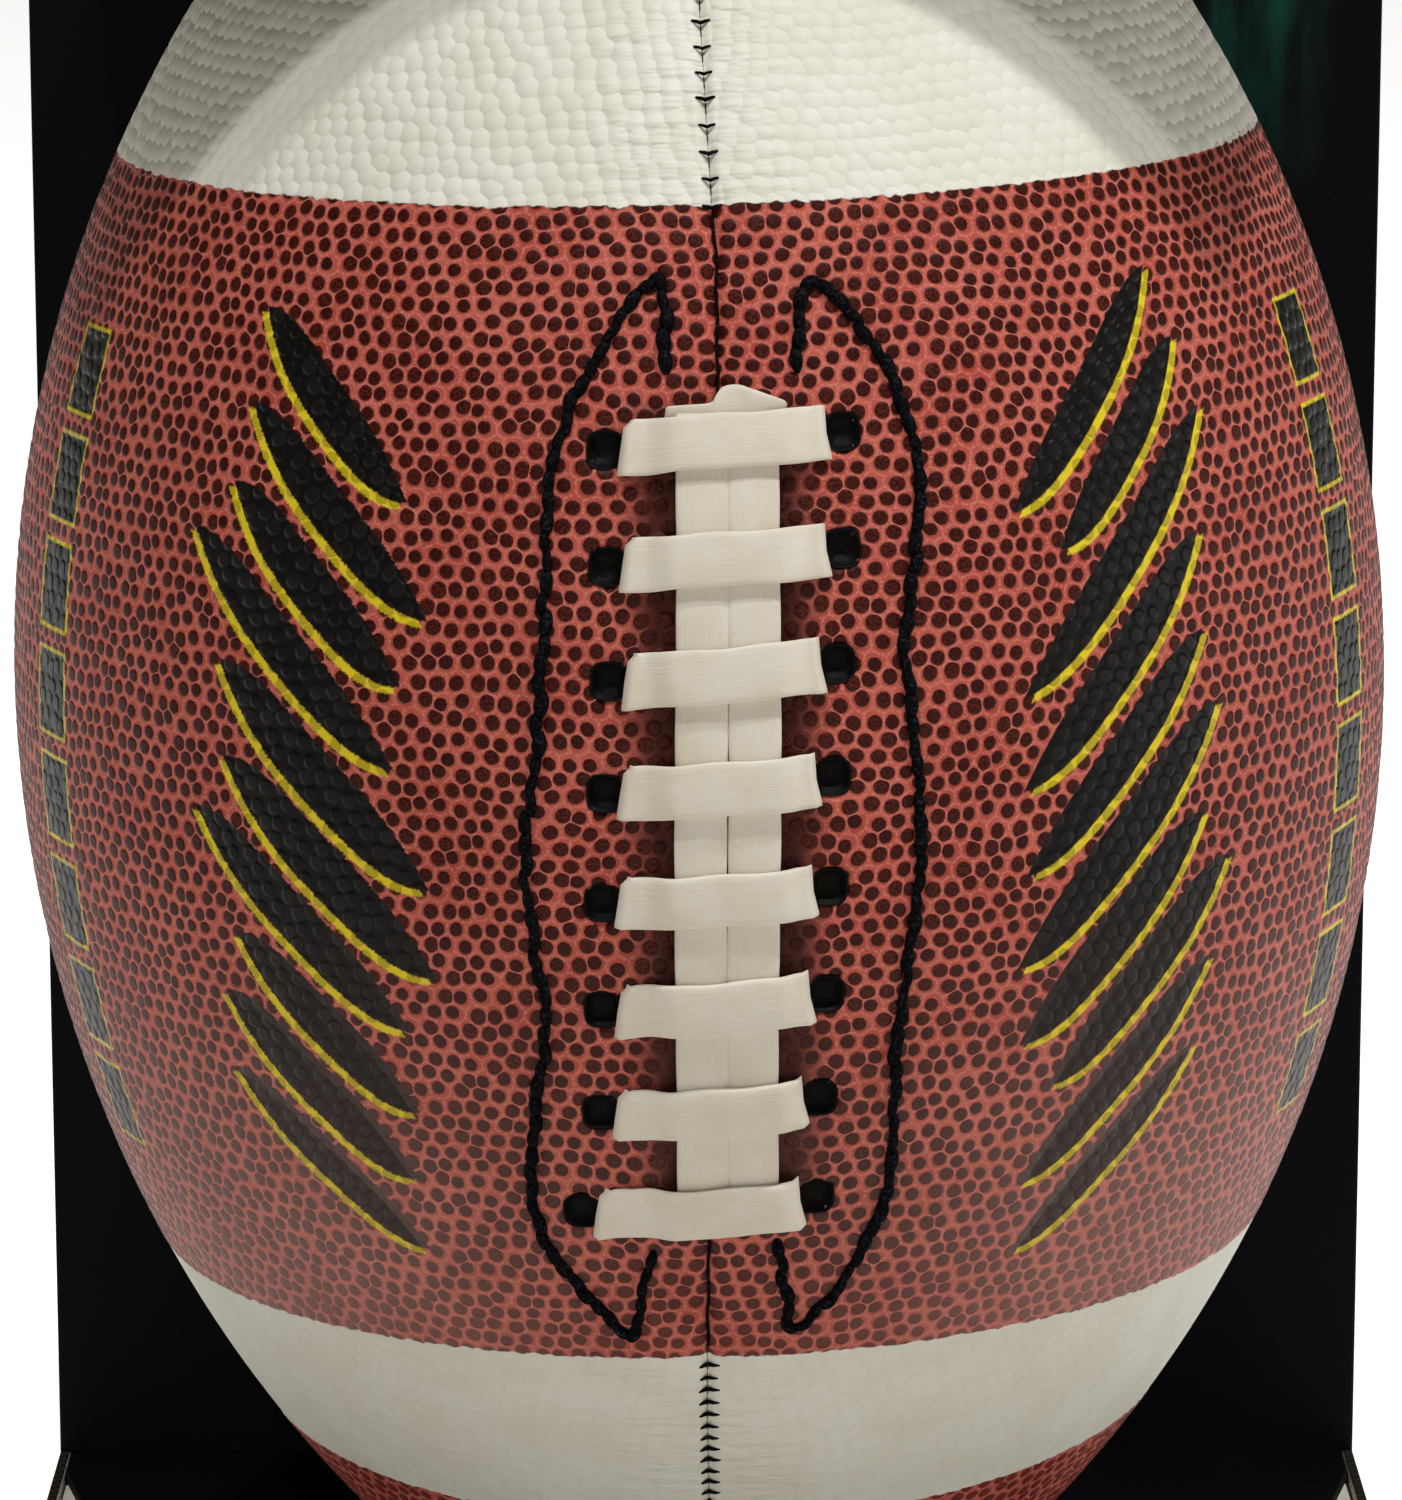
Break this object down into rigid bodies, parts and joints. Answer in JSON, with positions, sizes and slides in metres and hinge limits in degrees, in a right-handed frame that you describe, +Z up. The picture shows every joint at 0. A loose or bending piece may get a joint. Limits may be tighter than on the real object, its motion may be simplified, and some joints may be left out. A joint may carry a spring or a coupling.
{
  "type": "football display case",
  "caption": "Open-front folded board display carton with a hinged hood, holding an upright laced football by its two tips.",
  "frame": {"origin": "centre of the carton's footprint, on the surface it stands on", "axes": "+Z up; the open front and the ball's laces face -Y, the back panel is at +Y, +X is to the viewer's right"},
  "size_m": [0.183, 0.178, 0.294],
  "materials": {
    "printed_board": "black print with a satin varnish",
    "raw_board": "unprinted pale board, matt",
    "cover_leather": "pebbled composite leather, brick red with dark pebbles and white bands",
    "stay_fabric": "woven cotton",
    "black_thread": "waxed black thread",
    "lace_vinyl": "soft ivory vinyl, slightly glossy",
    "bladder_rubber": "smooth butyl rubber",
    "valve_rubber": "moulded rubber"
  },
  "bodies": {
    "carton": {"back_panel": "printed_board", "seat_panel": "printed_board", "seat_glue_flap": "raw_board", "base_bottom": "raw_board", "base_front_wall": "printed_board", "base_left_wall": "printed_board", "base_right_wall": "printed_board", "base_glue_flaps": "raw_board", "hood_fold": "printed_board"},
    "hood": {"hood_panel": "printed_board", "hood_front_wall": "printed_board", "hood_left_wall": "printed_board", "hood_right_wall": "printed_board", "hood_back_wall": "printed_board", "hood_dust_flaps": "raw_board"},
    "lid": {"hood_lid": "printed_board", "lid_tuck_flap": "printed_board"},
    "ball": {"panel_front_left": "cover_leather", "panel_front_right": "cover_leather", "panel_rear_left": "cover_leather", "panel_rear_right": "cover_leather", "lace_stay_left": "stay_fabric", "lace_stay_right": "stay_fabric", "stay_thread_left": "black_thread", "stay_thread_right": "black_thread", "lace_tongue": "cover_leather", "lace_strand_left": "lace_vinyl", "lace_strand_right": "lace_vinyl", "cross_laces": "lace_vinyl", "lace_end": "lace_vinyl", "seam_threads": "black_thread", "lining": "stay_fabric", "bladder": "bladder_rubber", "valve": "valve_rubber"}
  },
  "joints": [
    {"name": "hood_hinge", "type": "hinge", "parent": "carton", "child": "hood", "pos_m": [0, 0.089, 0.278], "axis": [-1, 0, 0], "range_deg": [0, 100]},
    {"name": "lid_hinge", "type": "hinge", "parent": "hood", "child": "lid", "pos_m": [0, 0.089, 0.2925], "axis": [-1, 0, 0], "range_deg": [0, 120]},
    {"name": "ball_spin", "type": "hinge", "parent": "carton", "child": "ball", "pos_m": [-0.001, 0, 0.147], "axis": [-0.0175, 0, 0.9998], "continuous": true}
  ]
}
